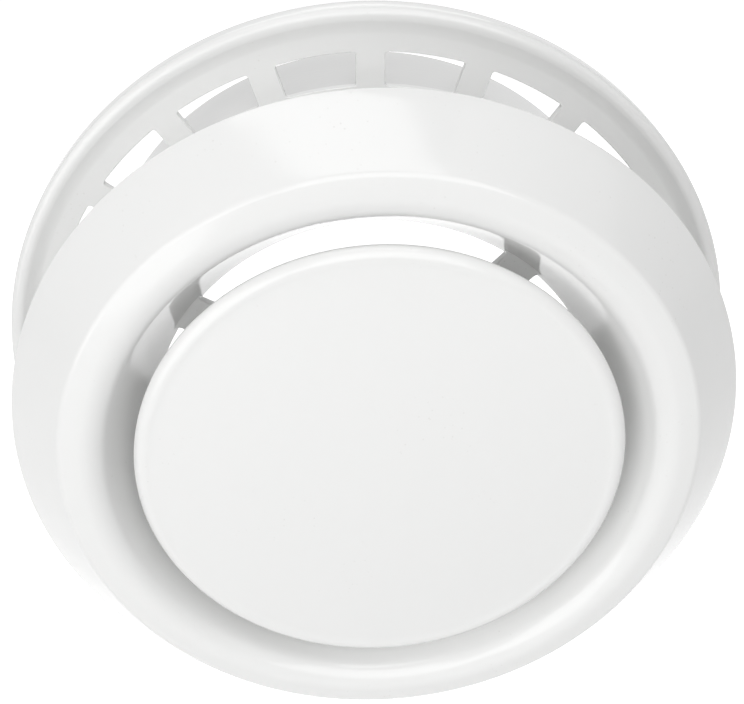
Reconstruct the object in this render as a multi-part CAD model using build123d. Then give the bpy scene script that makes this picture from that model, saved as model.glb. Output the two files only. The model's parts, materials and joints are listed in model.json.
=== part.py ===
from build123d import *
import math
import os

# The valve axis lies along Y. The wall plane is y = 0, the duct runs to +Y and the room is at -Y.
# Every "_s" value is a distance in front of the wall plane, so it stands for y = -s.

# Duct connection and mounting flange
duct_bore = 125.0
spigot_gap = 0.75
collar_wall = 1.8
collar_depth = 22.0
collar_fillet = 0.6
window_width = 6.85
window_count = 20
window_corner = 0.6
spoke_width = 5.7
skirt_cover = 3.3
lip_border = 5.6
lip_width = 2.6
lip_round = 1.6
lip_rise = 1.2
dish_land = 0.2
dish_sag = 0.26
ring_face_s = 3.8
ring_wall = 2.0
rim_wall = 2.0
collar_lead = 0.6
gasket_width = 5.6
gasket_gap = 0.2

# Valve body: skirt, lip, bell mouth and neck in one moulding
pull_gap = 29.9
body_wall = 2.0
skirt_height = 12.45
lip_shoulder = 1.9
facet_angle = 12.0
lip_radius = 4.8
shoulder_radius = 2.2
throat_border = 16.85
throat_depth = 18.25
bell_angle = 26.6
neck_gap = 0.5
neck_wall = 3.0
neck_engaged = 7.8
neck_lead = 0.8
seal_width = 4.0
seal_depth = 1.5
seal_setback = 10.8
fit_gap = 0.05
side_gap = 0.1
body_turn = 7.9

# Spider: four arms and the hub
arm_count = 4
arm_width = 7.4
arm_wall = 2.0
arm_slope = 16.0
arm_rise = 2.6
arm_root_round = 1.4
web_wall = 1.8
web_depth = 5.0
web_tip = 0.6
hub_wall = 2.5
hub_length = 10.0

# Spindle, bush, washer, nut and stop ring
spindle_d = 8.0
thread_pitch = 1.25
bush_wall = 2.0
bush_flange = 1.4
bush_flange_t = 1.0
washer_width = 3.5
washer_t = 1.2
nut_across_flats = 13.0
nut_t = 6.5
nut_chamfer = 0.2
nut_chamfer_angle = 30.0
nut_turns = 3
ring_t = 1.0
ring_width = 3.2
groove_depth = 0.85
ring_mouth = 4.6
tail_length = 2.5
tail_chamfer = 0.8
run_gap = 0.5

# Disc
disc_overlap = 2.9
disc_wall = 2.0
seat_gap = 0.62
edge_depth = 3.3
edge_land = 0.5
bevel_width = 3.1
bevel_rise = 1.5
bevel_bulge = 0.55
dome_rise = 2.2
boss_wall = 4.0
socket_depth = 8.0
shank_collar = 2.2
shank_collar_t = 1.5
rib_count = 6
rib_wall = 1.5
rib_root = 5.0
turns_in = 7.75
turns_out = 8

# Sizes that follow from those above
bell = math.tan(math.radians(bell_angle))
facet = math.tan(math.radians(facet_angle))
slope = math.tan(math.radians(arm_slope))
collar_r = duct_bore / 2 - spigot_gap
collar_in_r = collar_r - collar_wall
window_in_r = collar_r + collar_fillet
window_r = window_in_r + window_width
skirt_r = window_r + skirt_cover
flange_r = skirt_r + lip_border
flange_s = ring_face_s + lip_rise
ring_back_s = ring_face_s - ring_wall
rim_s = ring_face_s + pull_gap
crease_s = rim_s + skirt_height
neck_r = collar_in_r - neck_gap
neck_in_r = neck_r - neck_wall
crease_r = neck_r + lip_shoulder
neck_end_s = ring_face_s - neck_engaged
throat_r = crease_r - throat_border
throat_s = crease_s - throat_depth
seal_s = rim_s - seal_setback - seal_width
groove_r = neck_r - seal_depth
skirt_spare = 2 * body_wall
spindle_r = spindle_d / 2
bore_r = spindle_r + fit_gap
bush_r = spindle_r + bush_wall
hub_r = bush_r + hub_wall
hub_side_r = hub_r - arm_wall / 2
travel_in = turns_in * thread_pitch
travel_out = turns_out * thread_pitch
nut_travel = nut_turns * thread_pitch
arm_end_s = throat_s + arm_rise
root_r = throat_r + arm_rise * bell
hub_front_s = arm_end_s - (throat_r - hub_r) * slope + arm_wall
hub_back_s = hub_front_s - hub_length
bush_front_s = hub_front_s + bush_flange_t
washer_s = hub_back_s - side_gap - washer_t
nut_s = washer_s - side_gap - nut_t
ring_s = nut_s - nut_travel - travel_out - run_gap - ring_t
ring_in_r = spindle_r - groove_depth + fit_gap
tail_s = ring_s - tail_length
disc_r = throat_r + disc_overlap
disc_s = throat_s + disc_overlap / bell + edge_land + travel_in + seat_gap
dome_edge_r = disc_r - bevel_width
dome_edge_s = disc_s + bevel_rise
disc_top_s = dome_edge_s + dome_rise
dome_r = (dome_edge_r ** 2 + dome_rise ** 2) / (2 * dome_rise)
seat_end_r = disc_r - (edge_depth - edge_land) * bell
boss_r = spindle_r + boss_wall
boss_s = bush_front_s + travel_in + run_gap + shank_collar_t
shank_top_s = boss_s + socket_depth
on_circle = 0.01


def flat(points):
    """Closed face through (radius, distance in front of the wall) points."""
    return make_face(Polyline(*[(r, -s) for r, s in points], close=True))


def turned(face):
    """Solid of revolution about the valve axis."""
    return revolve(face, Axis.Y, 360)


def tube(r_in, r_out, s_back, s_front):
    return turned(flat([(r_in, s_back), (r_out, s_back), (r_out, s_front), (r_in, s_front)]))


def front_plane(s):
    """Plane parallel to the wall whose normal points into the room."""
    return Plane.XZ.offset(s)


def spun(shape, angle):
    """The shape turned about the valve axis, clockwise as seen from the room."""
    return Rotation(0, angle, 0) * shape


def mounting_flange():
    """Collar, windowed ring and rolled rim turned in one profile."""
    lip_in_r = flange_r - lip_width
    dish_r = skirt_r + dish_land
    dish_mid = ((lip_in_r + dish_r) / 2, -(ring_face_s + lip_rise / 2 - dish_sag))
    with BuildSketch() as profile:
        with BuildLine():
            Line((flange_r, 0), (flange_r, -(flange_s - lip_round)))
            CenterArc((flange_r - lip_round, -(flange_s - lip_round)), lip_round, 0, -90)
            Line((flange_r - lip_round, -flange_s), (lip_in_r, -flange_s))
            ThreePointArc((lip_in_r, -flange_s), dish_mid, (dish_r, -ring_face_s))
            Polyline(
                (dish_r, -ring_face_s),
                (collar_in_r + collar_lead, -ring_face_s),
                (collar_in_r, -(ring_face_s - collar_lead)),
                (collar_in_r, collar_depth),
                (collar_r - collar_lead, collar_depth),
                (collar_r, collar_depth - collar_lead),
                (collar_r, collar_fillet - ring_back_s),
            )
            CenterArc((window_in_r, collar_fillet - ring_back_s), collar_fillet, 180, 90)
            Polyline(
                (window_in_r, -ring_back_s),
                (flange_r - rim_wall, -ring_back_s),
                (flange_r - rim_wall, 0),
                (flange_r, 0),
            )
        make_face()
    windows = Circle(window_r) - Circle(window_in_r)
    spoke = Pos(0, (window_in_r + window_r) / 2) * Rectangle(spoke_width, 2 * window_width)
    windows -= [Rotation(0, 0, -360 / window_count * i) * spoke for i in range(window_count)]
    windows = fillet(windows.vertices(), window_corner)
    return turned(profile.sketch) - prism(windows, ring_back_s - ring_wall, ring_face_s + ring_wall)


def wall_gasket():
    """Foam ring that fills the rolled rim back to the wall plane."""
    outer = flange_r - rim_wall - gasket_gap
    return tube(outer - gasket_width, outer, 0, ring_back_s)


def bell_points():
    """Outline of the body's visible side: throat edge, lip corner, crease and past the skirt's rim."""
    rise = (throat_border - throat_depth * bell) / (1 + facet * bell)
    lip = (crease_r - rise, crease_s + rise * facet)
    flare = (skirt_r - crease_r) / skirt_height
    end = (skirt_r + skirt_spare * flare, rim_s - skirt_spare)
    return [(throat_r, throat_s), lip, (crease_r, crease_s), end]


def body_shell():
    """Bell mouth, lip and skirt as one wall of even thickness, cut flat at the rim."""
    path = FilletPolyline(*[(r, -s) for r, s in bell_points()], radius=[lip_radius, shoulder_radius])
    wall = make_face(offset(path, amount=body_wall, side=Side.LEFT))
    far_r, low_s = skirt_r + 2 * skirt_spare, rim_s - 2 * skirt_spare
    below_rim = flat([(crease_r, low_s), (far_r, low_s), (far_r, rim_s), (crease_r, rim_s)])
    return turned(wall - below_rim)


def neck():
    """Tube that slides in the collar, with the groove for its seal."""
    top_s = crease_s - body_wall / 2
    profile = flat([
        (neck_in_r, neck_end_s), (neck_r - neck_lead, neck_end_s), (neck_r, neck_end_s + neck_lead),
        (neck_r, seal_s), (groove_r, seal_s), (groove_r, seal_s + seal_width), (neck_r, seal_s + seal_width),
        (neck_r, top_s), (neck_in_r, top_s),
    ])
    return turned(profile)


def arm_front_s(r):
    """Front surface of an arm at a radius: a shallow cone that falls back towards the hub."""
    return arm_end_s - (throat_r - r) * slope


def arm_back_s(r):
    return arm_front_s(r) - arm_wall / math.cos(math.radians(arm_slope))


def arm_band():
    """Conical dish between the bell's wall and the hub, the stock that the arms are cut from."""
    end_r = root_r + body_wall / 2
    return turned(flat([
        (end_r, arm_front_s(end_r)), (end_r, arm_back_s(end_r)),
        (hub_side_r, arm_back_s(hub_side_r)), (hub_side_r, arm_front_s(hub_side_r)),
    ]))


def web_band():
    """Tapered dish behind the arms, the stock that their stiffening webs are cut from."""
    lap = arm_wall / 2
    end_r = throat_r + body_wall / 2
    return turned(flat([
        (end_r, arm_back_s(end_r) + lap), (end_r, arm_back_s(end_r) - web_tip),
        (hub_side_r, arm_back_s(hub_side_r) - web_depth), (hub_side_r, arm_back_s(hub_side_r) + lap),
    ]))


def bars(width, reach, count, start):
    """Flat bars of equal width that run out from the axis, clockwise from a start angle."""
    bar = Pos(0, reach / 2) * Rectangle(width, reach)
    return Sketch() + [Rotation(0, 0, -(start + 360 / count * i)) * bar for i in range(count)]


def prism(sketch, s_back, s_front):
    return extrude(front_plane(s_back) * sketch, s_front - s_back)


def spider():
    """Arms with rounded roots, a web behind each and the hub in the middle."""
    first = 180 / arm_count
    rim = Circle(root_r + body_wall) - Circle(root_r)
    outline = rim + bars(arm_width, root_r + body_wall / 2, arm_count, first)
    roots = [v for v in outline.vertices() if abs(math.hypot(v.X, v.Y) - root_r) < on_circle]
    outline = fillet(roots, arm_root_round)
    webs = bars(web_wall, root_r, arm_count, first)
    arms = arm_band() & prism(outline, tail_s, crease_s)
    stiffeners = web_band() & prism(webs, tail_s, crease_s)
    hub = tube(bush_r, hub_r, hub_back_s, hub_front_s)
    bore = tube(0, bush_r, tail_s, crease_s)
    return (arms + stiffeners - bore) + hub


def valve_body():
    return spun(body_shell() + neck() + spider(), -body_turn)


def neck_seal():
    """Rubber ring in the neck's groove; its crown closes the gap to the collar."""
    inner = groove_r + fit_gap
    outer = collar_in_r - fit_gap
    low, high = seal_s + side_gap, seal_s + seal_width - side_gap
    crown = (outer, -(low + high) / 2)
    with BuildSketch() as profile:
        with BuildLine():
            ThreePointArc((neck_r, -low), crown, (neck_r, -high))
            Polyline((neck_r, -high), (inner, -high), (inner, -low), (neck_r, -low))
        make_face()
    return turned(profile.sketch)


def hub_bush():
    """Threaded insert in the hub, with a flange that seats on the hub's front."""
    flange = tube(bore_r, bush_r + bush_flange, hub_front_s, bush_front_s)
    return tube(bore_r, bush_r, hub_back_s, bush_front_s) + flange


def lock_washer():
    return tube(bore_r + side_gap, spindle_r + washer_width, washer_s, washer_s + washer_t)


def lock_nut():
    """Hexagon nut with its corners turned off at both ends."""
    hexagon = RegularPolygon(nut_across_flats / 2, 6, major_radius=False)
    corner_r = nut_across_flats / 2 / math.cos(math.pi / 6)
    cut = corner_r - nut_across_flats / 2 + nut_chamfer
    rise = cut * math.tan(math.radians(nut_chamfer_angle))
    turned_stock = turned(flat([
        (bore_r, nut_s), (corner_r - cut, nut_s), (corner_r, nut_s + rise),
        (corner_r, nut_s + nut_t - rise), (corner_r - cut, nut_s + nut_t), (bore_r, nut_s + nut_t),
    ]))
    return turned_stock & prism(hexagon, nut_s, nut_s + nut_t)


def spindle():
    """Shank with a collar under the disc's boss, a ring groove and a chamfered tail."""
    shank = tube(0, spindle_r, tail_s + tail_chamfer, shank_top_s)
    tail = turned(flat([(0, tail_s), (spindle_r - tail_chamfer, tail_s),
                        (spindle_r, tail_s + tail_chamfer), (0, tail_s + tail_chamfer)]))
    groove = tube(spindle_r - groove_depth, spindle_d, ring_s - side_gap, ring_s + ring_t + side_gap)
    collar = tube(0, spindle_r + shank_collar, boss_s - shank_collar_t, boss_s)
    return shank + tail + collar - groove


def stop_ring():
    """Open retaining ring in the spindle's groove."""
    ring_r = ring_in_r + ring_width
    ring = Circle(ring_r) - Circle(ring_in_r) - Pos(0, -ring_r / 2) * Rectangle(ring_mouth, ring_r)
    return prism(ring, ring_s, ring_s + ring_t)


def dome_s(r, drop=0.0):
    """Front of the disc's dome at a radius, or the same surface a given distance behind it."""
    return disc_top_s - drop - dome_r + math.sqrt(dome_r ** 2 - r ** 2)


def dome_arc(r, drop=0.0):
    """Section of the dome from the axis out to a radius."""
    return ThreePointArc((0, -dome_s(0, drop)), (r / 2, -dome_s(r / 2, drop)), (r, -dome_s(r, drop)))


def disc_crown():
    """Domed face, bevelled edge and seat cone, hollow behind."""
    back_s = disc_s - edge_depth
    rim_r = seat_end_r - disc_wall
    with BuildSketch() as profile:
        with BuildLine():
            dome_arc(dome_edge_r)
            SagittaArc((dome_edge_r, -dome_edge_s), (disc_r, -disc_s), -bevel_bulge)
            Polyline((disc_r, -disc_s), (disc_r, -(disc_s - edge_land)), (seat_end_r, -back_s),
                     (rim_r, -back_s), (rim_r, -dome_s(rim_r, disc_wall)))
            dome_arc(rim_r, disc_wall)
            Line((0, -dome_s(0, disc_wall)), (0, -disc_top_s))
        make_face()
    return turned(profile.sketch)


def disc_ribs():
    """Radial ribs between the boss and the rim, let into the crown by half its wall."""
    lap = disc_wall / 2
    end_r = seat_end_r - lap
    root_s = disc_s - rib_root
    with BuildSketch() as profile:
        with BuildLine():
            dome_arc(end_r, lap)
            Polyline((end_r, -dome_s(end_r, lap)), (end_r, -(disc_s - edge_depth / 2)), (boss_r, -root_s),
                     (0, -root_s), (0, -dome_s(0, lap)))
        make_face()
    plates = bars(rib_wall, disc_r, rib_count, 0)
    return turned(profile.sketch) & prism(plates, boss_s, disc_top_s)


def valve_disc():
    socket = tube(0, spindle_r, boss_s, shank_top_s)
    boss = tube(0, boss_r, boss_s, dome_s(boss_r, disc_wall / 2))
    return spun(disc_crown() + disc_ribs() + boss - socket, -body_turn)


pieces = {
    "mounting_flange": mounting_flange,
    "wall_gasket": wall_gasket,
    "valve_body": valve_body,
    "neck_seal": neck_seal,
    "hub_bush": hub_bush,
    "lock_washer": lock_washer,
    "lock_nut": lock_nut,
    "stop_ring": stop_ring,
    "spindle": spindle,
    "valve_disc": valve_disc,
}

os.makedirs("parts", exist_ok=True)
for name, make in pieces.items():
    export_step(make(), f"parts/{name}.step")
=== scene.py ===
import json
import math

import bmesh
import bpy
import numpy as np
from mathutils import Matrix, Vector


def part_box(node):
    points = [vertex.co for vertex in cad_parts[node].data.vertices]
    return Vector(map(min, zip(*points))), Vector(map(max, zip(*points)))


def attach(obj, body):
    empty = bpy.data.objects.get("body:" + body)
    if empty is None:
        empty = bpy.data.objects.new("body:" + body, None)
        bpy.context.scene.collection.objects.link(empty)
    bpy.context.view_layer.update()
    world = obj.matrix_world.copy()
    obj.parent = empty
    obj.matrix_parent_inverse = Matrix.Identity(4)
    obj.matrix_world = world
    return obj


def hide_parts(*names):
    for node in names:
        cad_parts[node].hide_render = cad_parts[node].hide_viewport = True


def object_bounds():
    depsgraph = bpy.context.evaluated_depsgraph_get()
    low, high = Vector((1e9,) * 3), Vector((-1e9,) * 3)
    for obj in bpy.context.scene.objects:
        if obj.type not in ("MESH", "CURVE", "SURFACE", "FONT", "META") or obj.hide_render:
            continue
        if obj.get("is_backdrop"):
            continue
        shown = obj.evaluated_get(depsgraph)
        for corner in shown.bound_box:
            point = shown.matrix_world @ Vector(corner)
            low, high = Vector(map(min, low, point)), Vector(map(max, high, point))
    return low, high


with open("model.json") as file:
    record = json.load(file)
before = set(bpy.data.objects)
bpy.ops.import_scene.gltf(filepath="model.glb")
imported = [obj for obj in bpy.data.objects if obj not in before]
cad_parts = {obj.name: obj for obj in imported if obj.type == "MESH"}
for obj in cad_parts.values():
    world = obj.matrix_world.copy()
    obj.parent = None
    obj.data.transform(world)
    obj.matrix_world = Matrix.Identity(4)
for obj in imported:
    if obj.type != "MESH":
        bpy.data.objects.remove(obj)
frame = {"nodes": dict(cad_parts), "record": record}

bl_info = {
    "name": "Ventilation disc valve",
    "version": (1, 0, 0),
    "blender": (4, 5, 0),
    "location": "3D View > Sidebar > Disc valve",
    "description": "Moulded surfaces, screw thread and finishes of a ventilation disc valve",
    "category": "Add Mesh",
}

# Outlines are in millimetres, as (radius, distance in front of the wall) pairs about the valve axis, Y.
MM = 0.001
ROUND = math.tau

# Small roundings in millimetres, from the finest to the softest.
HAIR, FAINT, GROOVE, CRISP, EASED, EDGE, SOFT = 0.05, 0.1, 0.15, 0.2, 0.3, 0.35, 0.5
# Clearances in millimetres: seal in its groove, and parts beside a groove's walls.
FIT_GAP, SIDE_GAP = 0.05, 0.1
# Millimetres by which arms and ribs run into hub and boss, and the tail past its ring into the thread.
BITE, THREAD_BITE = 1.0, 0.5
# Steps into which the stretches of an outline are cut.
WINDOW_STEPS, FILLET_STEPS, DISH_STEPS, CROWN_STEPS = 5, 4, 8, 8
DOME_STEPS, BEVEL_STEPS, BACK_STEPS, SEAL_STEPS, ROOT_STEPS = 33, 14, 21, 24, 12
# Depths at which a window's rounded corner has rows, as shares of its rounding.
CORNER_DEPTHS = np.array([0.0, 0.08, 0.25, 0.6, 1.0])
DISH_POWER = 1.5
# Half width of a thread's crest as a share of the pitch, and its flank's angle to the axis.
CREST, FLANK = 1 / 16, math.radians(60)
# Distance in metres within which points become one, least angle of a rounded edge, steps of its rounding.
MERGE, SHARP, EDGE_SEGMENTS = 2e-6, math.radians(40), 2

# Range that most of a noise's values lie in.
NOISE_LOW, NOISE_HIGH = 0.3, 0.7
PALE_DUST, GREY_DUST, WHITE = (0.62, 0.61, 0.58, 1.0), (0.35, 0.34, 0.33, 1.0), (1.0, 1.0, 1.0, 1.0)

# Stage in metres: each softbox has its place and its size, and faces the valve.
SOFTBOXES = {
    "key": ((-0.76, -0.94, 0.13), (1.0, 1.0)),
    "front": ((0.1, -1.02, 0.62), (0.9, 0.9)),
    "top": ((-0.11, -0.26, 0.95), (0.92, 0.26)),
    "side": ((0.75, -0.45, 0.8), (1.0, 1.0)),
    "back": ((0.0, 0.85, 0.85), (1.0, 1.0)),
}
FLOOR_DROP, FLOOR_REACH, FLOOR_LINES = 0.2, 6, 25
FLOOR_GREY, FLOOR_GLOW = (0.75, 0.75, 0.75, 1.0), 0.75
# Camera: place in millimetres and direction, then focal length and image width in pixels, sensor width
# in millimetres, and nearest distance in metres.
CAMERA_PLACE, CAMERA_AIM = (-11.9, -234.9, 139.1), (0.0452, 0.8589, -0.5106)
FOCAL_PIXELS, IMAGE_WIDTH, SENSOR_WIDTH, NEAR_CLIP = 1215.0, 744.0, 36.0, 0.01


def length(name, text, millimetres):
    """A size in metres whose default is given in millimetres."""
    return bpy.props.FloatProperty(
        name=name, description=text, default=millimetres * MM, min=0.0, precision=5, unit="LENGTH")


def angle(name, text, degrees):
    """An angle in radians whose default is given in degrees."""
    return bpy.props.FloatProperty(
        name=name, description=text, default=math.radians(degrees), unit="ROTATION")


def share(name, text, value):
    """A share between none and all."""
    return bpy.props.FloatProperty(
        name=name, description=text, default=value, min=0.0, max=1.0, subtype="FACTOR")


def level(name, text, value):
    """A strength of light."""
    return bpy.props.FloatProperty(name=name, description=text, default=value, min=0.0)


def colour(name, text, value):
    """A colour without alpha."""
    return bpy.props.FloatVectorProperty(
        name=name, description=text, default=value, size=3, subtype="COLOR")


def count(name, text, value, least):
    """A whole number."""
    return bpy.props.IntProperty(name=name, description=text, default=value, min=least)


def box_mm(node):
    """Lowest and highest corner of a node in millimetres."""
    low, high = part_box(node)
    return np.array(low) / MM, np.array(high) / MM


def span(node):
    """Distances in front of the wall at which a node ends at its back and at its front."""
    low, high = box_mm(node)
    return -high[1], -low[1]


class FlangeSizes(bpy.types.PropertyGroup):
    """Sizes of the mounting flange and its collar."""
    collar_wall: length("Collar wall", "Thickness of the duct collar", 1.8)
    collar_lead: length("Collar lead", "Chamfer at both ends of the collar", 0.6)
    collar_out: length("Collar radius", "Outer radius of the duct collar", 61.75)
    window_in: length("Window radius", "Radius of the windows' inner edge", 62.35)
    window_width: length("Window width", "Width of a window along the radius", 6.85)
    window_corner: length("Window corner", "Rounding of a window's corners", 0.6)
    spoke_width: length("Spoke width", "Width of a spoke between two windows", 5.7)
    ring_face: length("Ring face", "Distance of the ring's face in front of the wall", 3.8)
    ring_wall: length("Ring wall", "Thickness of the windowed ring", 2.0)
    rim_wall: length("Rim wall", "Thickness of the rolled rim", 2.0)
    dish_start: length("Dish start", "Radius at which the ring rises to its lip", 72.7)
    lip_width: length("Lip width", "Width of the raised lip", 2.6)
    lip_round: length("Lip rounding", "Rounding of the lip's outer edge", 1.6)
    lip_rise: length("Lip rise", "Height of the lip above the ring", 1.2)
    window_count: count("Windows", "Windows in the ring", 20, 3)


class BodySizes(bpy.types.PropertyGroup):
    """Sizes of the valve body."""
    wall: length("Wall", "Thickness of the skirt and bell mouth", 2.0)
    neck_wall: length("Neck wall", "Thickness of the neck", 3.0)
    neck_out: length("Neck radius", "Outer radius of the neck", 59.45)
    neck_lead: length("Neck lead", "Chamfer at the neck's end", 0.8)
    crease_out: length("Crease radius", "Radius at which the lip's slope meets the skirt", 61.35)
    throat: length("Throat radius", "Radius of the throat edge", 44.5)
    throat_depth: length("Throat depth", "Distance of the throat edge behind the crease", 18.25)
    throat_round: length("Throat rounding", "Rounding of the throat edge", 0.9)
    rim_height: length("Rim height", "Distance of the skirt's rim in front of the wall", 33.7)
    skirt_height: length("Skirt height", "Depth of the skirt from crease to rim", 12.45)
    seal_depth: length("Seal groove", "Depth of the seal's groove", 1.5)
    lip_radius: length("Lip rounding", "Rounding of the lip", 4.8)
    crease_radius: length("Crease rounding", "Rounding of the crease", 2.2)
    bell_angle: angle("Bell angle", "Half angle of the bell mouth", 26.6)
    facet_angle: angle("Lip slope", "Slope of the band between lip and crease", 12.0)
    arm_width: length("Arm width", "Width of an arm", 7.4)
    arm_wall: length("Arm wall", "Thickness of an arm", 2.0)
    arm_slope: angle("Arm slope", "Slope of an arm back towards the hub", 16.0)
    arm_rise: length("Arm rise", "Distance of an arm's front in front of the throat edge", 2.6)
    arm_root: length("Arm root", "Rounding where an arm meets the bell mouth", 1.4)
    arm_border: length("Arm border", "Width of an arm's edge that widens at its root", 0.6)
    web_wall: length("Web wall", "Thickness of the web behind an arm", 1.8)
    web_depth: length("Web depth", "Depth of the web at the hub", 5.0)
    web_tip: length("Web tip", "Depth of the web at the throat", 0.6)
    hub: length("Hub radius", "Outer radius of the hub", 8.5)
    hub_length: length("Hub length", "Length of the hub along the axis", 10.0)
    bush_flange: length("Bush flange", "Width of the bush's flange outside the hub's bore", 1.4)
    turn: angle("Turn", "Angle by which the body is turned in its collar", 7.9)
    arm_count: count("Arms", "Arms of the spider", 4, 2)


class DiscSizes(bpy.types.PropertyGroup):
    """Sizes of the valve disc."""
    edge: length("Edge radius", "Largest radius of the disc", 47.4)
    wall: length("Wall", "Thickness of the disc", 2.0)
    edge_depth: length("Edge depth", "Distance from the disc's widest place to its back edge", 3.3)
    edge_land: length("Edge land", "Width of the straight land at the disc's widest place", 0.5)
    bevel_width: length("Bevel width", "Width of the rounded bevel", 3.1)
    bevel_rise: length("Bevel rise", "Height of the rounded bevel", 1.5)
    bevel_bulge: length("Bevel bulge", "Distance by which the bevel bows out", 0.55)
    dome_rise: length("Dome rise", "Height of the dome", 2.2)
    back_foot: length("Back foot", "Width of the finely divided ring behind the rim", 3.0)
    boss: length("Boss radius", "Outer radius of the boss", 8.0)
    boss_lead: length("Boss lead", "Rounding of the boss's bore at its end", 0.25)
    boss_round: length("Boss rounding", "Rounding of the boss's outer edge", 0.4)
    rib_wall: length("Rib wall", "Thickness of a rib", 1.5)
    rib_root: length("Rib root", "Depth of a rib at the boss, from the disc's widest place", 5.0)
    rib_count: count("Ribs", "Ribs behind the disc", 6, 0)


class SpindleSizes(bpy.types.PropertyGroup):
    """Sizes of the threaded spindle."""
    shank: length("Shank radius", "Radius over the thread's crests", 4.0)
    pitch: length("Thread pitch", "Distance between two turns of the thread", 1.25)
    depth: length("Thread depth", "Depth of the thread's groove", 0.68)
    collar: length("Collar radius", "Radius of the collar under the boss", 6.2)
    collar_width: length("Collar width", "Width of the collar under the boss", 1.5)
    tail_chamfer: length("Tail chamfer", "Chamfer at the tail", 0.8)
    groove_depth: length("Groove depth", "Depth of the ring groove", 0.85)


class LookSettings(bpy.types.PropertyGroup):
    """Colours of the pieces and levels of the studio light."""
    plastic: colour("Plastic", "Colour of the moulded plastic", (0.86, 0.862, 0.855))
    steel: colour("Steel", "Colour of the zinc plated steel", (0.62, 0.63, 0.65))
    brass: colour("Brass", "Colour of the turned brass", (0.68, 0.48, 0.2))
    spring: colour("Spring steel", "Colour of the dark spring steel", (0.2, 0.2, 0.21))
    rubber: colour("Rubber", "Colour of the seal", (0.035, 0.035, 0.035))
    foam: colour("Foam", "Colour of the wall gasket", (0.05, 0.05, 0.05))
    gloss: share("Roughness", "Roughness of the moulded plastic", 0.1)
    sky: level("Sky", "Strength of the soft light from all sides", 0.28)
    key_light: level("Key light", "Power of the softbox at the front left", 5.9)
    front_light: level("Front light", "Power of the front softbox", 4.9)
    top_light: level("Top light", "Power of the softbox above", 1.5)
    side_light: level("Side light", "Power of the softbox at the upper right", 1.3)
    back_light: level("Back light", "Power of the softbox behind", 3.8)


def sizes(name):
    """A group's lengths in millimetres, its angles in radians and its counts as they are."""
    group, values = getattr(bpy.context.scene, "disc_valve_" + name), {}
    for key, prop in group.bl_rna.properties.items():
        if prop.type == "FLOAT" and not prop.is_array:
            values[key] = getattr(group, key) / (MM if prop.unit == "LENGTH" else 1.0)
        elif prop.type == "INT":
            values[key] = getattr(group, key)
    return values


def meet(p, d, q, e):
    """Point where the line through p along d crosses the line through q along e."""
    gap = np.subtract(q, p)
    along = (gap[0] * e[1] - gap[1] * e[0]) / (d[0] * e[1] - d[1] * e[0])
    return np.add(p, np.multiply(d, along))


def rounded(corners, steps=10):
    """Outline through (radius, height, rounding) corners. A corner becomes an arc tangent to both its
    sides: its centre lies rounding / sin(half the corner) along the bisector, and its spokes turn evenly
    from one tangent point to the other."""
    data = np.array(corners, float)
    p, rounding = data[:, :2], data[:, 2:]
    before, after = np.roll(p, 1, 0) - p, np.roll(p, -1, 0) - p
    before /= np.linalg.norm(before, axis=1, keepdims=True)
    after /= np.linalg.norm(after, axis=1, keepdims=True)
    half = np.arccos(np.clip(np.sum(before * after, 1, keepdims=True), -1, 1)) / 2
    bisector = before + after
    bisector /= np.linalg.norm(bisector, axis=1, keepdims=True)
    centre = p + bisector * rounding / np.sin(half)
    reach = rounding / np.tan(half)
    start, end = p + before * reach - centre, p + after * reach - centre
    turn = math.pi - 2 * half
    t = np.linspace(0, 1, steps + 1)[None, :, None]
    arc = np.sin((1 - t) * turn[:, None]) * start[:, None] + np.sin(t * turn[:, None]) * end[:, None]
    points = (centre[:, None] + arc / np.sin(turn)[:, None]).reshape(-1, 2)
    return distinct(points)


def distinct(points, least=1e-6):
    """The outline without points that repeat the one before."""
    moved = np.linalg.norm(np.diff(points, axis=0), axis=1) > least
    return points[np.concatenate([[True], moved])]


def divided(points, longest, closed=True):
    """The outline with each side cut into equal parts no longer than a given length."""
    ends = np.roll(points, -1, 0) if closed else points[1:]
    starts = points if closed else points[:-1]
    parts = np.maximum(1, np.ceil(np.linalg.norm(ends - starts, axis=1) / longest)).astype(int)
    index = np.repeat(np.arange(len(parts)), parts)
    step = (np.arange(len(index)) - np.repeat(np.cumsum(parts) - parts, parts)) / parts[index]
    cut = starts[index] + (ends - starts)[index] * step[:, None]
    return cut if closed else np.vstack([cut, points[-1]])


def on_axis(radius, height, turn):
    """Points at a radius and a distance in front of the wall, turned clockwise from the top as seen from
    the room: x = radius sin(turn), y = -height, z = radius cos(turn), in metres."""
    radius, height, turn = np.broadcast_arrays(radius, height, turn)
    return np.stack([radius * np.sin(turn), -height, radius * np.cos(turn)], -1) * MM


def grid_faces(rows, columns, wrap_rows=True, wrap_columns=True):
    """Four-cornered faces of a grid of points, closed round in either direction."""
    r = np.arange(rows if wrap_rows else rows - 1)[:, None]
    c = np.arange(columns if wrap_columns else columns - 1)[None, :]
    r2, c2 = (r + 1) % rows, (c + 1) % columns
    corners = [r * columns + c, r * columns + c2, r2 * columns + c2, r2 * columns + c]
    return np.stack([np.broadcast_to(k, (r.shape[0], c.shape[1])) for k in corners], -1).reshape(-1, 4)


def lathe(outline, columns, closed=True):
    """Surface of revolution of an outline. An open outline starts and ends on the axis."""
    turn = np.linspace(0, ROUND, columns, endpoint=False)[None, :]
    points = on_axis(outline[:, :1], outline[:, 1:], turn)
    return points.reshape(-1, 3), grid_faces(len(outline), columns, wrap_rows=closed)


def turned(corners, steps, longest, columns, closed=True):
    """Surface of revolution of an outline through (radius, height, rounding) corners."""
    return lathe(divided(rounded(corners, steps), longest, closed), columns, closed)


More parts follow.
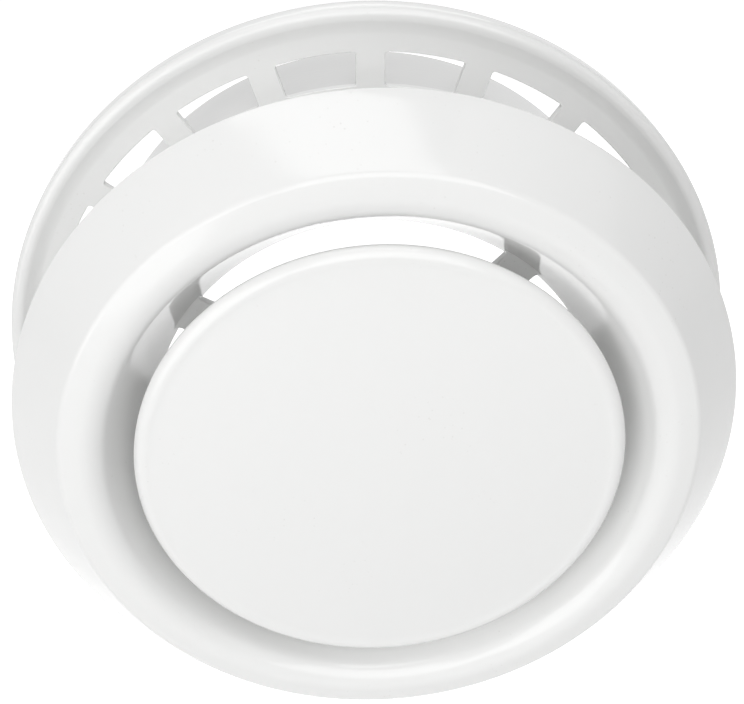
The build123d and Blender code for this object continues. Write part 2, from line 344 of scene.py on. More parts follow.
def bar(direction, radius, side, height):
    """Bar that runs out from the axis in one direction. Row k of side and height is its section at
    radius[k]: a point lies side to the right of the bar's line, as seen from the room with the bar
    upright. Both ends are closed to a pole."""
    radius = np.broadcast_to(radius[:, None], side.shape)
    radius, side, height = (
        np.vstack([a[:1] * 0 + a[:1].mean(), a, a[-1:] * 0 + a[-1:].mean()]) for a in (radius, side, height))
    x = radius * math.sin(direction) + side * math.cos(direction)
    z = radius * math.cos(direction) - side * math.sin(direction)
    points = np.stack([x, -height, z], -1).reshape(-1, 3) * MM
    return points, grid_faces(*side.shape, wrap_rows=False)


def joined(shells):
    """Several surfaces as one list of points and one of faces."""
    counts = np.cumsum([0] + [len(points) for points, faces in shells])
    points = np.vstack([points for points, faces in shells])
    faces = np.vstack([faces + start for (_, faces), start in zip(shells, counts)])
    return points, faces


def make_piece(name, shells, replaced, material, bevel=0.0):
    """Puts closed surfaces into one mesh, merges doubled points, turns faces outwards, rounds edges."""
    points, faces = joined(shells)
    mesh = bpy.data.meshes.new(name)
    mesh.from_pydata(points.tolist(), [], faces.tolist())
    work = bmesh.new()
    work.from_mesh(mesh)
    bmesh.ops.remove_doubles(work, verts=work.verts, dist=MERGE)
    bmesh.ops.recalc_face_normals(work, faces=work.faces)
    work.to_mesh(mesh)
    work.free()
    mesh.polygons.foreach_set("use_smooth", np.ones(len(mesh.polygons), bool))
    mesh.materials.append(material)
    piece = bpy.data.objects.new(name, mesh)
    bpy.context.scene.collection.objects.link(piece)
    if bevel:
        rounding = piece.modifiers.new("edges", "BEVEL")
        rounding.width = bevel * MM
        rounding.segments = EDGE_SEGMENTS
        rounding.limit_method = "ANGLE"
        rounding.angle_limit = SHARP
        rounding.harden_normals = True
    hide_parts(replaced)
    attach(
        piece, next(b for b, nodes in frame["record"]["behaviour"]["bodies"].items() if replaced in nodes))


class Nodes:
    """Places shader nodes in a material or group and links them."""

    def __init__(self, tree):
        self.tree = tree

    def add(self, kind, **inputs):
        """Adds a node and fills its inputs."""
        node = self.tree.nodes.new("ShaderNode" + kind)
        for key, value in inputs.items():
            self.put(node, key.replace("_", " "), value)
        return node

    def put(self, node, socket, value):
        """Links a socket into an input or sets the input to a number."""
        if isinstance(value, bpy.types.NodeSocket):
            self.tree.links.new(value, node.inputs[socket])
        else:
            node.inputs[socket].default_value = value

    def math(self, operation, a, b=0.5):
        """Result of an operation on two values."""
        node = self.tree.nodes.new("ShaderNodeMath")
        node.operation = operation
        for i, value in enumerate((a, b)):
            self.put(node, i, value)
        return node.outputs[0]

    def ramp(self, value, low, high, to_low, to_high):
        """The value carried from the range low to high into the range to_low to to_high."""
        node = self.add("MapRange", Value=value)
        sockets = ("From Min", "From Max", "To Min", "To Max")
        for socket, number in zip(sockets, (low, high, to_low, to_high)):
            node.inputs[socket].default_value = number
        return node.outputs["Result"]

    def tint(self, shader, clean, dusty, mask):
        """Mixes a clean and a dusty colour by a mask into the shader's colour."""
        mix = self.add("Mix")
        mix.data_type = "RGBA"
        mix.inputs["A"].default_value = clean
        mix.inputs["B"].default_value = dusty
        self.put(mix, "Factor", mask)
        self.tree.links.new(mix.outputs["Result"], shader.inputs["Base Color"])

    def relief(self, shader, height, strength, distance):
        """Lets a height shape the shader's normal."""
        bump = self.add("Bump", Strength=strength, Distance=distance, Height=height)
        self.tree.links.new(bump.outputs[0], shader.inputs["Normal"])


def group_tree(name, inputs, outputs):
    """Shader node group with named float inputs and outputs."""
    tree = bpy.data.node_groups.new(name, "ShaderNodeTree")
    for label, value in inputs.items():
        socket = tree.interface.new_socket(label, in_out="INPUT", socket_type="NodeSocketFloat")
        socket.default_value = value
    for label in outputs:
        tree.interface.new_socket(label, in_out="OUTPUT", socket_type="NodeSocketFloat")
    given, wanted = tree.nodes.new("NodeGroupInput").outputs, tree.nodes.new("NodeGroupOutput").inputs
    return tree, Nodes(tree), given, wanted


def moulded_grain():
    """Group: fine waviness of a moulding and slow changes of its gloss, both from noise on Object
    coordinates. Height is for a bump node and Gloss is added to roughness."""
    smoother, duller, broad_share = -0.02, 0.03, 2.0
    tree, n, given, wanted = group_tree("moulded_grain", {"Fine": 900.0, "Broad": 28.0}, ("Height", "Gloss"))
    place = n.add("TexCoord").outputs["Object"]
    fine = n.add("TexNoise", Vector=place, Scale=given["Fine"], Detail=2.0).outputs["Fac"]
    broad = n.add("TexNoise", Vector=place, Scale=given["Broad"], Detail=3.0, Roughness=0.6).outputs["Fac"]
    tree.links.new(n.math("ADD", fine, n.math("MULTIPLY", broad, broad_share)), wanted["Height"])
    tree.links.new(n.ramp(broad, NOISE_LOW, NOISE_HIGH, smoother, duller), wanted["Gloss"])
    return tree


def settled_dust():
    """Group: mask of dust specks, from cells on Object coordinates thinned out by noise."""
    speck_core, speck_rim, bare, dusty = 0.05, 0.16, 0.55, 0.7
    tree, n, given, wanted = group_tree("settled_dust", {"Scale": 700.0, "Amount": 0.5}, ("Mask",))
    place = n.add("TexCoord").outputs["Object"]
    specks = n.add("TexVoronoi", Vector=place, Scale=given["Scale"])
    thin = n.add("TexNoise", Vector=place, Scale=60.0, Detail=2.0)
    dots = n.ramp(specks.outputs["Distance"], speck_core, speck_rim, 1.0, 0.0)
    patch = n.ramp(thin.outputs["Fac"], bare, dusty, 0.0, 1.0)
    tree.links.new(n.math("MULTIPLY", n.math("MULTIPLY", dots, patch), given["Amount"]), wanted["Mask"])
    return tree


def turned_lines():
    """Group: fine rings round the valve axis, as left by turning, from noise along the sum of the
    distance to the axis and the place along it."""
    smoother, duller = -0.06, 0.08
    tree, n, given, wanted = group_tree("turned_lines", {"Scale": 1800.0}, ("Height", "Gloss"))
    place = n.add("TexCoord").outputs["Object"]
    split = n.add("SeparateXYZ", Vector=place)
    x2 = n.math("MULTIPLY", split.outputs["X"], split.outputs["X"])
    z2 = n.math("MULTIPLY", split.outputs["Z"], split.outputs["Z"])
    radius = n.math("SQRT", n.math("ADD", x2, z2))
    rings = n.add("CombineXYZ", X=n.math("ADD", radius, split.outputs["Y"]))
    noise = n.add("TexNoise", Vector=rings.outputs[0], Scale=given["Scale"], Detail=2.0)
    tree.links.new(noise.outputs["Fac"], wanted["Height"])
    tree.links.new(n.ramp(noise.outputs["Fac"], NOISE_LOW, NOISE_HIGH, smoother, duller), wanted["Gloss"])
    return tree


def effect(n, maker, **values):
    """Places the shader node group of that maker, built at its first use, with its own values."""
    node = n.tree.nodes.new("ShaderNodeGroup")
    node.node_tree = bpy.data.node_groups.get(maker.__name__) or maker()
    for key, value in values.items():
        node.inputs[key].default_value = value
    return node.outputs


def blank_material(name):
    """Material with one Principled BSDF, as (material, node helper, shader)."""
    material = bpy.data.materials.new(name)
    material.use_nodes = True
    return material, Nodes(material.node_tree), material.node_tree.nodes["Principled BSDF"]


def plastic_material(name, colour, roughness):
    """Glossy moulded plastic with fine waviness, uneven gloss and a trace of dust."""
    material, n, shader = blank_material(name)
    grain = effect(n, moulded_grain)
    dust = effect(n, settled_dust, Amount=0.35)
    n.tint(shader, (*colour, 1.0), PALE_DUST, dust["Mask"])
    n.put(shader, "Roughness", n.math("ADD", grain["Gloss"], roughness))
    n.relief(shader, grain["Height"], strength=0.05, distance=0.0002)
    shader.inputs["IOR"].default_value = 1.5
    return material


def metal_material(name, colour, roughness):
    """Bare or plated metal with turning lines, less metallic where dust lies."""
    dusty_metallic = 0.4
    material, n, shader = blank_material(name)
    lines = effect(n, turned_lines)
    dust = effect(n, settled_dust, Amount=0.2)
    shader.inputs["Base Color"].default_value = (*colour, 1.0)
    n.put(shader, "Metallic", n.ramp(dust["Mask"], 0.0, 1.0, 1.0, dusty_metallic))
    n.put(shader, "Roughness", n.math("ADD", lines["Gloss"], roughness))
    n.relief(shader, lines["Height"], strength=0.08, distance=0.0002)
    return material


def soft_material(name, colour, roughness, cells):
    """Rubber or closed-cell foam: matt, with pores that are smoother in their middle."""
    pore_reach, pore_gloss = 0.6, 0.1
    material, n, shader = blank_material(name)
    place = n.add("TexCoord").outputs["Object"]
    pores = n.add("TexVoronoi", Vector=place, Scale=cells).outputs["Distance"]
    dust = effect(n, settled_dust, Amount=0.5)
    n.tint(shader, (*colour, 1.0), GREY_DUST, dust["Mask"])
    n.put(shader, "Roughness", n.ramp(pores, 0.0, pore_reach, roughness - pore_gloss, roughness))
    n.relief(shader, pores, strength=0.4, distance=0.0003)
    return material


def own(name, maker, **values):
    """The material of that name, made at its first use."""
    return bpy.data.materials.get(name) or maker(name, **values)


def white_plastic():
    """The plastic of the three mouldings."""
    look = bpy.context.scene.disc_valve_look
    return own("white_moulding", plastic_material, colour=look.plastic, roughness=look.gloss)


def bright_zinc():
    """The plated steel of spindle, nut and washer."""
    look = bpy.context.scene.disc_valve_look
    return own("bright_zinc", metal_material, colour=look.steel, roughness=0.3)


def dress(node, material):
    """Gives a node of the frame its material."""
    mesh = frame["nodes"][node].data
    mesh.materials.clear()
    mesh.materials.append(material)


def flange_outline(v):
    """Closed outline of the flange, the number of its rows across a window, and the first such row at the
    front and at the back. The ring rises to its lip by lip rise * way ^ 1.5. Quarter circles round the
    lip's outer edge and fill the corner between collar and ring."""
    back, face = v["ring_face"] - v["ring_wall"], v["ring_face"]
    collar, lead = v["collar_out"], v["collar_lead"]
    collar_in = collar - v["collar_wall"]
    end, front = span("mounting_flange")
    edge = box_mm("mounting_flange")[1][0]
    window = v["window_in"] + v["window_width"]
    lip_in, rim_in = edge - v["lip_width"], edge - v["rim_wall"]
    depths = CORNER_DEPTHS * v["window_corner"]
    near, far = v["window_in"] + v["window_corner"], window - v["window_corner"]
    middle = np.linspace(near, far, WINDOW_STEPS + 1)[1:-1]
    across = np.concatenate([v["window_in"] + depths, middle, window - depths[::-1]])
    foot = np.linspace(0, math.pi / 2, FILLET_STEPS + 1)[1:]
    gap = v["window_in"] - collar
    fillet = np.column_stack([v["window_in"] - gap * np.sin(foot), back - gap * (1 - np.cos(foot))])
    way = np.linspace(0, 1, DISH_STEPS + 1)[1:-1]
    dish = np.column_stack([
        v["dish_start"] + (lip_in - v["dish_start"]) * way, face + v["lip_rise"] * way ** DISH_POWER])
    turn = np.linspace(0, math.pi / 2, CROWN_STEPS + 1)
    crown = np.column_stack([
        edge - v["lip_round"] * (1 - np.sin(turn)), front - v["lip_round"] * (1 - np.cos(turn))])
    parts = [
        [[collar_in + lead, face]],
        np.column_stack([across, np.full(len(across), face)]),
        [[v["dish_start"], face]], dish, [[lip_in, front]], crown,
        [[edge, 0.0], [rim_in, 0.0], [rim_in, back]],
        np.column_stack([across[::-1], np.full(len(across), back)]),
        fillet,
        [[collar, end + lead], [collar - lead, end], [collar_in, end], [collar_in, face - lead]],
    ]
    first_back = sum(len(p) for p in parts[:7])
    return np.vstack(parts), len(across), len(parts[0]), first_back


def flange_shell(v, per_window=10, per_spoke=4):
    """Flange as one grid: rows follow the outline and columns turn round the axis. Between two spokes of
    even width the columns spread evenly over the window, whose half angle at radius r is half a step less
    asin(half spoke / r), less the corner's rounding at both ends. Window faces are left out of front and
    back, and a wall joins their edges."""
    outline, rows, top, back = flange_outline(v)
    inner, outer, corner = v["window_in"], v["window_in"] + v["window_width"], v["window_corner"]
    radius = np.clip(outline[:, 0], inner, outer)
    step = ROUND / v["window_count"]
    rest = np.clip(corner - np.minimum(radius - inner, outer - radius), 0, corner)
    cut = corner - np.sqrt(corner ** 2 - rest ** 2)
    in_zone = np.zeros(len(outline), bool)
    in_zone[top:top + rows] = in_zone[back:back + rows] = True
    side = step / 2 - np.arcsin(v["spoke_width"] / 2 / radius) - np.where(in_zone, cut, 0.0) / radius
    window = np.linspace(-1, 1, per_window + 1)
    spoke = np.linspace(0, 1, per_spoke + 1)[1:-1]
    columns = np.concatenate([
        side[:, None] * window[None, :],
        side[:, None] + (step - 2 * side[:, None]) * spoke[None, :]], 1)
    cells = columns.shape[1]
    starts = (np.arange(v["window_count"]) + 0.5) * step
    turn = (starts[None, :, None] + columns[:, None, :]).reshape(len(outline), -1)
    total = turn.shape[1]
    points = on_axis(outline[:, :1], outline[:, 1:], turn).reshape(-1, 3)
    faces = grid_faces(len(outline), total).reshape(len(outline), v["window_count"], cells, 4)
    keep = np.ones(faces.shape[:3], bool)
    for first in (top, back):
        keep[first:first + rows - 1, :, :per_window] = False
    wall = window_walls(v["window_count"], rows, top, back, per_window, cells, total)
    return points, np.vstack([faces[keep], wall])


def window_walls(windows, rows, top, back, per_window, cells, total):
    """Faces that join the front and back edges of the windows. A path of rows and columns runs once round
    a window, and each face joins two steps of it at the front to the same two at the back."""
    front_rows = np.arange(top, top + rows)
    back_rows = np.arange(back + rows - 1, back - 1, -1)
    across = np.arange(per_window + 1)
    last = rows - 1
    row = np.concatenate([
        np.zeros(per_window, int), np.arange(last), np.full(per_window, last), np.arange(last, 0, -1)])
    column = np.concatenate([
        across[:-1], np.full(last, per_window), across[:0:-1], np.zeros(last, int)])
    next_row, next_column = np.roll(row, -1), np.roll(column, -1)
    base = (np.arange(windows) * cells)[:, None]
    corners = [
        front_rows[row] * total + base + column, front_rows[next_row] * total + base + next_column,
        back_rows[next_row] * total + base + next_column, back_rows[row] * total + base + column]
    return np.stack(corners, -1).reshape(-1, 4)


def side_line(p, q, wall):
    """Line parallel to the one from p to q, a wall's thickness to its left, as (point, direction)."""
    along = (np.array(q) - p) / np.linalg.norm(np.array(q) - p)
    return p + wall * np.array([-along[1], along[0]]), along


def body_marks(v):
    """Corners of the body's visible side: skirt rim, crease, lip and throat edge. The lip lies where the
    band that slopes in from the crease crosses the bell mouth that widens from the throat."""
    bell, facet = math.tan(v["bell_angle"]), math.tan(v["facet_angle"])
    crease_height = v["rim_height"] + v["skirt_height"]
    rise = (v["crease_out"] - v["throat"] - v["throat_depth"] * bell) / (1 + facet * bell)
    rim = np.array([box_mm("valve_body")[1][0], v["rim_height"]])
    crease = np.array([v["crease_out"], crease_height])
    lip = np.array([v["crease_out"] - rise, crease_height + rise * facet])
    throat = np.array([v["throat"], crease_height - v["throat_depth"]])
    return rim, crease, lip, throat


def body_outline(v):
    """Closed outline of skirt, lip, bell mouth and neck. The back of each wall is the visible side moved
    by the wall's thickness, and the neck's two sides run on until they meet it."""
    rim, crease, lip, throat = body_marks(v)
    end = span("valve_body")[0]
    seal_back, seal_front = span("neck_seal")
    neck_in, neck_out = v["neck_out"] - v["neck_wall"], v["neck_out"]
    skirt, facet, bell = (
        side_line(p, q, v["wall"]) for p, q in ((rim, crease), (crease, lip), (lip, throat)))
    across, up = (1.0, 0.0), (0.0, 1.0)
    low, high, groove = seal_back - SIDE_GAP, seal_front + SIDE_GAP, neck_out - v["seal_depth"]
    corners = [
        (*rim, EDGE), (*crease, v["crease_radius"]), (*lip, v["lip_radius"]), (*throat, v["throat_round"]),
        (*(throat + bell[0] - lip), v["throat_round"]), (*meet(*bell, *facet), EDGE),
        (*meet(*facet, (neck_in, 0.0), up), EASED), (neck_in, end, EASED),
        (neck_out - v["neck_lead"], end, CRISP), (neck_out, end + v["neck_lead"], EASED),
        (neck_out, low, GROOVE), (groove, low, GROOVE), (groove, high, GROOVE), (neck_out, high, GROOVE),
        (*meet(*facet, (neck_out, 0.0), up), SOFT), (*meet(*facet, *skirt), CRISP),
        (*meet(*skirt, rim, across), EDGE),
    ]
    return divided(rounded(corners), longest=2.5)


def arm_front(v, radius):
    """Height of the arms' front, which falls back to the hub by the tangent of the arms' slope."""
    throat = body_marks(v)[3]
    return throat[1] + v["arm_rise"] - (v["throat"] - radius) * math.tan(v["arm_slope"])


def arm_shell(v, direction, stations=40):
    """One arm: a flat band with a web behind, drawn 1 mm deep and stretched to its depth. At its root the
    band widens by root - sqrt(root^2 - (radius - start of the root)^2)."""
    half, thick, web = v["arm_width"] / 2, v["arm_wall"] / math.cos(v["arm_slope"]), v["web_wall"] / 2
    corners = [
        (-half, 0, EDGE), (half, 0, EDGE), (half, thick, EDGE), (web, thick, SOFT),
        (web, thick + 1, EASED), (-web, thick + 1, EASED), (-web, thick, SOFT), (-half, thick, EDGE)]
    section = rounded(corners, steps=5)
    root_end = v["throat"] + v["arm_rise"] * math.tan(v["bell_angle"])
    radius = np.concatenate([
        np.linspace(v["hub"] - BITE, root_end - v["arm_root"], stations),
        root_end - v["arm_root"] * (1 - np.sqrt(np.linspace(0, 1, ROOT_STEPS + 1)[1:])),
        [root_end + v["wall"] / 2]])
    into = np.clip((radius - root_end + v["arm_root"]) / v["arm_root"], 0, 1)
    flare = v["arm_root"] * (1 - np.sqrt(1 - into ** 2))
    reach = (radius - v["hub"]) / (v["throat"] - v["hub"])
    deep = v["web_depth"] + (v["web_tip"] - v["web_depth"]) * reach
    across, down = section[None, :, 0], section[None, :, 1]
    at_border = np.abs(across) > half - v["arm_border"]
    side = across + np.where(at_border, np.sign(across) * flare[:, None], 0.0)
    depth = np.where(down > thick, thick + (down - thick) * deep[:, None], down)
    return bar(direction, radius, side, arm_front(v, radius)[:, None] - depth)


def hub_shell(v):
    """Hub: a tube whose bore holds the bush and whose front lies in front of the arms by their wall."""
    front = arm_front(v, v["hub"]) + v["arm_wall"]
    back = front - v["hub_length"]
    bore = box_mm("hub_bush")[1][0] - v["bush_flange"]
    corners = [(bore, back, CRISP), (bore, front, CRISP), (v["hub"], front, SOFT), (v["hub"], back, SOFT)]
    return turned(corners, steps=4, longest=1.5, columns=72)


def disc_marks(v):
    """The disc's widest radius and height, the radii of its dome's edge and sphere, and its dome's top."""
    top, edge = span("valve_disc")[1], v["edge"]
    widest = top - v["dome_rise"] - v["bevel_rise"]
    dome_edge = edge - v["bevel_width"]
    sphere = (dome_edge ** 2 + v["dome_rise"] ** 2) / (2 * v["dome_rise"])
    return edge, widest, dome_edge, sphere, top


def dome_height(v, radius, drop=0.0):
    """Height of the dome at a radius: top - sphere + sqrt(sphere^2 - radius^2), or that surface moved
    back by a drop."""
    sphere, top = disc_marks(v)[3:]
    return top - drop - sphere + np.sqrt(sphere ** 2 - np.square(radius))


def seat_end(v):
    """Radius where the disc's seat cone ends: the edge less the cone's depth times the bell's tangent."""
    return v["edge"] - (v["edge_depth"] - v["edge_land"]) * math.tan(v["bell_angle"])


def crown_shell(v, columns=320):
    """Dome, bevel, land, seat cone and hollow back as one outline from the axis round to the axis. The
    bevel is its chord moved out by 4 bulge s (1 - s) at share s of its way."""
    edge, widest, dome_edge = disc_marks(v)[:3]
    back, seat = widest - v["edge_depth"], seat_end(v)
    inner = seat - v["wall"]
    foot = inner - v["back_foot"]
    out = np.linspace(0, dome_edge, DOME_STEPS + 1)[:-1]
    chord = np.array([edge - dome_edge, -v["bevel_rise"]])
    way = np.linspace(0, 1, BEVEL_STEPS + 1)
    normal = np.array([-chord[1], chord[0]]) / np.linalg.norm(chord)
    bevel = np.array([dome_edge, widest + v["bevel_rise"]]) + way[:, None] * chord
    bevel = bevel + (4 * v["bevel_bulge"] * way * (1 - way))[:, None] * normal
    corners = [
        (edge, widest - v["edge_land"] / 2, 0.0), (edge, widest - v["edge_land"], EASED),
        (seat, back, EASED), (inner, back, EASED),
        (inner, dome_height(v, inner, v["wall"]), SOFT), (foot, dome_height(v, foot, v["wall"]), 0.0)]
    back_in = np.linspace(foot, 0, BACK_STEPS + 1)[1:]
    outline = np.vstack([
        np.column_stack([out, dome_height(v, out)]),
        bevel,
        divided(rounded(corners, steps=5), longest=1.0, closed=False),
        np.column_stack([back_in, dome_height(v, back_in, v["wall"])])])
    return lathe(distinct(outline), columns, closed=False)


def rib_shell(v, direction, stations=24):
    """One rib: an upright plate whose back edge runs straight from the boss to the rim and whose front
    edge lies inside the crown's wall."""
    widest = disc_marks(v)[1]
    end = seat_end(v) - v["wall"] / 2
    radius = np.linspace(v["boss"] - BITE, end, stations)
    along = (radius - v["boss"]) / (end - v["boss"])
    back = widest - v["rib_root"] + (v["rib_root"] - v["edge_depth"] / 2) * along
    front = dome_height(v, radius, v["wall"] / 2)
    half = v["rib_wall"] / 2
    section = rounded([(-half, 0, HAIR), (half, 0, HAIR), (half, 1, HAIR), (-half, 1, HAIR)], steps=4)
    side = np.broadcast_to(section[:, 0], (stations, len(section)))
    height = front[:, None] + (back - front)[:, None] * section[None, :, 1]
    return bar(direction, radius, side, height)


def boss_shell(v):
    """Boss: a tube round the spindle's end whose front lies inside the crown's wall."""
    front, back = dome_height(v, v["boss"], v["wall"] / 2), span("valve_disc")[0]
    corners = [
        (v["shank"], back, v["boss_lead"]), (v["boss"], back, v["boss_round"]),
        (v["boss"], front, FAINT), (v["shank"], front, FAINT)]
    return turned(corners, steps=4, longest=1.5, columns=64)


def thread_shell(v, low, high, columns=48, per_turn=16):
    """Threaded stretch of the shank. The distance to the crest's line along the axis is
    |(height / pitch + turn / full turn) mod 1 - 1/2| pitches. Within 1/16 pitch the radius is the
    crest's, and from there it falls at 60 degrees to the axis until the thread's depth is reached.
    Both ends close to a pole."""
    rows = int(math.ceil((high - low) / v["pitch"] * per_turn)) + 1
    height = np.linspace(low, high, rows)[:, None]
    turn = np.linspace(0, ROUND, columns, endpoint=False)[None, :]
    from_crest = np.abs((height / v["pitch"] + turn / ROUND) % 1.0 - 0.5) * v["pitch"]
    fall = np.clip((from_crest - v["pitch"] * CREST) * math.tan(FLANK), 0, v["depth"])
    radius = np.minimum(v["shank"] - fall, v["shank"] - v["tail_chamfer"] + (height - low))
    radius = np.vstack([radius[:1] * 0, radius, radius[-1:] * 0])
    height = np.vstack([height[:1], height, height[-1:]])
    return on_axis(radius, height, turn).reshape(-1, 3), grid_faces(rows + 2, columns, wrap_rows=False)


def tail_shell(v):
    """Tail of the spindle behind its threads, with its chamfer and the stop ring's groove."""
    tail = span("spindle")[0]
    ring_back, ring_front = span("stop_ring")
    shank, chamfer = v["shank"], v["tail_chamfer"]
    groove = shank - v["groove_depth"]
    corners = [
        (0, tail, 0), (shank - chamfer, tail, GROOVE), (shank, tail + chamfer, GROOVE),
        (shank, ring_back - SIDE_GAP, FAINT), (groove, ring_back - SIDE_GAP, HAIR),
        (groove, ring_front + THREAD_BITE, 0), (0, ring_front + THREAD_BITE, 0)]
    return turned(corners, steps=3, longest=0.5, columns=64, closed=False)


def collar_shell(v):
    """Collar of the spindle under the disc's boss, and the end that stands in the boss."""
    boss, top = span("valve_disc")[0], span("spindle")[1]
    under = boss - v["collar_width"]
    corners = [
        (0, under, 0), (v["collar"], under, EASED), (v["collar"], boss, CRISP),
        (v["shank"], boss, HAIR), (v["shank"], top, CRISP), (0, top, 0)]
    return turned(corners, steps=4, longest=1.0, columns=64, closed=False)


def seal_shell(v):
    """Seal: flat in its groove, with a crown outside the neck whose height falls by s^2 from its middle
    to its sides, where s is 1."""
    back, front = span("neck_seal")
    inner, neck = v["neck_out"] - v["seal_depth"] + FIT_GAP, v["neck_out"]
    crown_height = box_mm("neck_seal")[1][0] - neck
    across = np.linspace(-1, 1, SEAL_STEPS + 1)
    crown = np.column_stack([
        neck + crown_height * (1 - across ** 2), (back + front) / 2 + across * (front - back) / 2])
    return lathe(distinct(np.vstack([[[inner, front]], [[inner, back]], crown])), columns=240)


class VALVE_OT_flange(bpy.types.Operator):
    """Makes the mounting flange with its windows, lip and collar"""
    bl_idname = "disc_valve.flange"
    bl_label = "Mounting flange"

    def execute(self, context):
        shells = [flange_shell(sizes("flange"))]
        make_piece("flange_moulding", shells, "mounting_flange", white_plastic(), bevel=0.25)
        return {"FINISHED"}


class VALVE_OT_body(bpy.types.Operator):
    """Makes the valve body: skirt, lip, bell mouth, neck, arms and hub"""
    bl_idname = "disc_valve.body"
    bl_label = "Valve body"

    def execute(self, context):
        v = sizes("body")
        step = ROUND / v["arm_count"]
        arms = [arm_shell(v, step * (i + 0.5) - v["turn"]) for i in range(v["arm_count"])]
        shells = [lathe(body_outline(v), columns=330), hub_shell(v), *arms]
        make_piece("body_moulding", shells, "valve_body", white_plastic())
        return {"FINISHED"}


class VALVE_OT_disc(bpy.types.Operator):
    """Makes the valve disc: dome, bevelled edge, ribs and boss"""
    bl_idname = "disc_valve.disc"
    bl_label = "Valve disc"

    def execute(self, context):
        v = sizes("body") | sizes("spindle") | sizes("disc")
        step = ROUND / v["rib_count"]
        ribs = [rib_shell(v, step * i - v["turn"]) for i in range(v["rib_count"])]
        shells = [crown_shell(v), boss_shell(v), *ribs]
        make_piece("disc_moulding", shells, "valve_disc", white_plastic())
        return {"FINISHED"}


class VALVE_OT_spindle(bpy.types.Operator):
    """Makes the threaded spindle with its collar, ring groove and tail"""
    bl_idname = "disc_valve.spindle"
    bl_label = "Spindle"

    def execute(self, context):
        v = sizes("spindle")
        thread_start = span("stop_ring")[1] + SIDE_GAP
        thread_end = span("valve_disc")[0] - v["collar_width"] / 2
        shells = [tail_shell(v), thread_shell(v, thread_start, thread_end), collar_shell(v)]
        make_piece("threaded_spindle", shells, "spindle", bright_zinc())
        return {"FINISHED"}


class VALVE_OT_seals(bpy.types.Operator):
    """Gives the neck seal and the wall gasket their rubber and foam, and rounds the seal finely"""
    bl_idname = "disc_valve.seals"
    bl_label = "Seal and gasket"

    def execute(self, context):
        look = context.scene.disc_valve_look
        foam = own("black_foam", soft_material, colour=look.foam, roughness=0.95, cells=2600.0)
        rubber = own("black_rubber", soft_material, colour=look.rubber, roughness=0.6, cells=5000.0)
        dress("wall_gasket", foam)
        shell = seal_shell(sizes("body"))
        make_piece("seal_ring", [shell], "neck_seal", rubber, bevel=0.1)
        return {"FINISHED"}


class VALVE_OT_hardware(bpy.types.Operator):
    """Gives the bush, washer, nut and stop ring their metals"""
    bl_idname = "disc_valve.hardware"
    bl_label = "Bush, washer, nut and ring"

    def execute(self, context):
        look = context.scene.disc_valve_look
        dress("lock_nut", bright_zinc())
        dress("lock_washer", bright_zinc())
        brass = own("turned_brass", metal_material, colour=look.brass, roughness=0.32)
        dress("hub_bush", brass)
        spring = own("dark_spring_steel", metal_material, colour=look.spring, roughness=0.4)
        dress("stop_ring", spring)
        return {"FINISHED"}


class VALVE_OT_stage(bpy.types.Operator):
    """Makes the pale floor, the softboxes, the soft sky and the camera"""
    bl_idname = "disc_valve.stage"
    bl_label = "Stage"

    def execute(self, context):
        look = context.scene.disc_valve_look
        low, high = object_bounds()
        middle = (Vector(low) + Vector(high)) / 2
        lay_floor(low[2] - FLOOR_DROP)
        set_world(look.sky)
        for name, (place, size) in SOFTBOXES.items():
            softbox(name + "_softbox", Vector(place), middle, size, getattr(look, name + "_light"))
        set_camera()
        context.scene.view_settings.view_transform = "Standard"
        return {"FINISHED"}


def lay_floor(height):
    """Square floor at a height."""
    line = np.linspace(-FLOOR_REACH, FLOOR_REACH, FLOOR_LINES)
    x, y = np.meshgrid(line, line)
    points = np.stack([x, y, np.full_like(x, height)], -1).reshape(-1, 3)
    mesh = bpy.data.meshes.new("floor")
    mesh.from_pydata(points.tolist(), [], grid_faces(FLOOR_LINES, FLOOR_LINES, False, False).tolist())
    mesh.materials.append(own("pale_floor", floor_material))
    floor = bpy.data.objects.new("floor", mesh)
    bpy.context.scene.collection.objects.link(floor)
    floor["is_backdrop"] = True


def softbox(name, place, target, size, power):
    """Rectangular lamp that faces a point."""
    lamp = bpy.data.lights.new(name, "AREA")
    lamp.shape = "RECTANGLE"
    lamp.size, lamp.size_y = size
    lamp.energy = power
    holder = bpy.data.objects.new(name, lamp)
    holder.location = place
    holder.rotation_euler = (target - place).to_track_quat("-Z", "Y").to_euler()
    bpy.context.scene.collection.objects.link(holder)


def set_camera():
    """Camera at the photo's place and angle of view."""
    lens = bpy.data.cameras.new("camera")
    lens.sensor_width = SENSOR_WIDTH
    lens.lens = FOCAL_PIXELS / IMAGE_WIDTH * SENSOR_WIDTH
    lens.clip_start = NEAR_CLIP
    camera = bpy.data.objects.new("camera", lens)
    camera.location = Vector(CAMERA_PLACE) * MM
    camera.rotation_euler = Vector(CAMERA_AIM).to_track_quat("-Z", "Y").to_euler()
    bpy.context.scene.collection.objects.link(camera)
    bpy.context.scene.camera = camera


def seen_directly(n):
    """One for camera, glossy and transmission rays, and zero for the light that reaches surfaces."""
    path = n.add("LightPath").outputs
    seen = n.math("MAXIMUM", path["Is Camera Ray"], path["Is Glossy Ray"])
    return n.math("MAXIMUM", seen, path["Is Transmission Ray"])


def set_world(strength):
    """Even soft light from all sides, white where it is seen directly."""
    world = bpy.data.worlds.new("soft_sky")
    world.use_nodes = True
    n = Nodes(world.node_tree)
    sky = world.node_tree.nodes["Background"]
    sky.inputs["Color"].default_value = WHITE
    n.put(sky, "Strength", n.ramp(seen_directly(n), 0.0, 1.0, strength, 1.0))
    bpy.context.scene.world = world


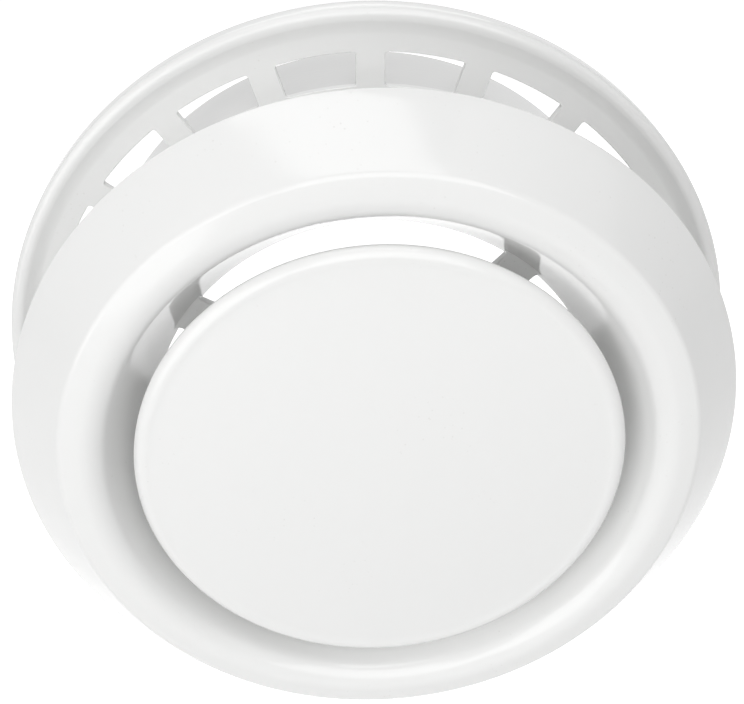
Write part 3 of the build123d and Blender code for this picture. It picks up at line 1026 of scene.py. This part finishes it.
def floor_material(name):
    """Pale matt floor that glows where it is seen directly, so that it is white and keeps its shadow."""
    matt, mattest = 0.9, 1.0
    material, n, shader = blank_material(name)
    place = n.add("TexCoord").outputs["Object"]
    grain = n.add("TexNoise", Vector=place, Scale=300.0, Detail=3.0)
    shader.inputs["Base Color"].default_value = FLOOR_GREY
    shader.inputs["Specular IOR Level"].default_value = 0.0
    n.put(shader, "Roughness", n.ramp(grain.outputs["Fac"], NOISE_LOW, NOISE_HIGH, matt, mattest))
    shader.inputs["Emission Color"].default_value = WHITE
    n.put(shader, "Emission Strength", n.math("MULTIPLY", seen_directly(n), FLOOR_GLOW))
    return material


class VALVE_PT_panel(bpy.types.Panel):
    """Sidebar panel with the valve's pieces and its stage"""
    bl_label = "Disc valve"
    bl_idname = "VALVE_PT_panel"
    bl_space_type = "VIEW_3D"
    bl_region_type = "UI"
    bl_category = "Disc valve"

    def draw(self, context):
        for operator in OPERATORS:
            self.layout.operator(operator.bl_idname)


OPERATORS = (
    VALVE_OT_flange, VALVE_OT_body, VALVE_OT_disc, VALVE_OT_spindle, VALVE_OT_seals, VALVE_OT_hardware,
    VALVE_OT_stage)
GROUPS = {
    "flange": FlangeSizes, "body": BodySizes, "disc": DiscSizes, "spindle": SpindleSizes,
    "look": LookSettings}
CLASSES = (*GROUPS.values(), *OPERATORS, VALVE_PT_panel)


def register():
    """Registers the classes and gives the scene its groups of sizes."""
    for cls in CLASSES:
        bpy.utils.register_class(cls)
    for name, group in GROUPS.items():
        setattr(bpy.types.Scene, "disc_valve_" + name, bpy.props.PointerProperty(type=group))


def unregister():
    """Takes the groups and the classes away again."""
    for name in GROUPS:
        delattr(bpy.types.Scene, "disc_valve_" + name)
    for cls in reversed(CLASSES):
        bpy.utils.unregister_class(cls)


def corners(bounds):
    """The two corners of a box as plain lists."""
    return [list(corner) for corner in bounds]


def main():
    """Registers the add-on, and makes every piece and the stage."""
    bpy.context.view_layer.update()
    register()
    for operator in OPERATORS:
        family, name = operator.bl_idname.split(".")
        getattr(getattr(bpy.ops, family), name)()


if __name__ == "__main__":
    main()
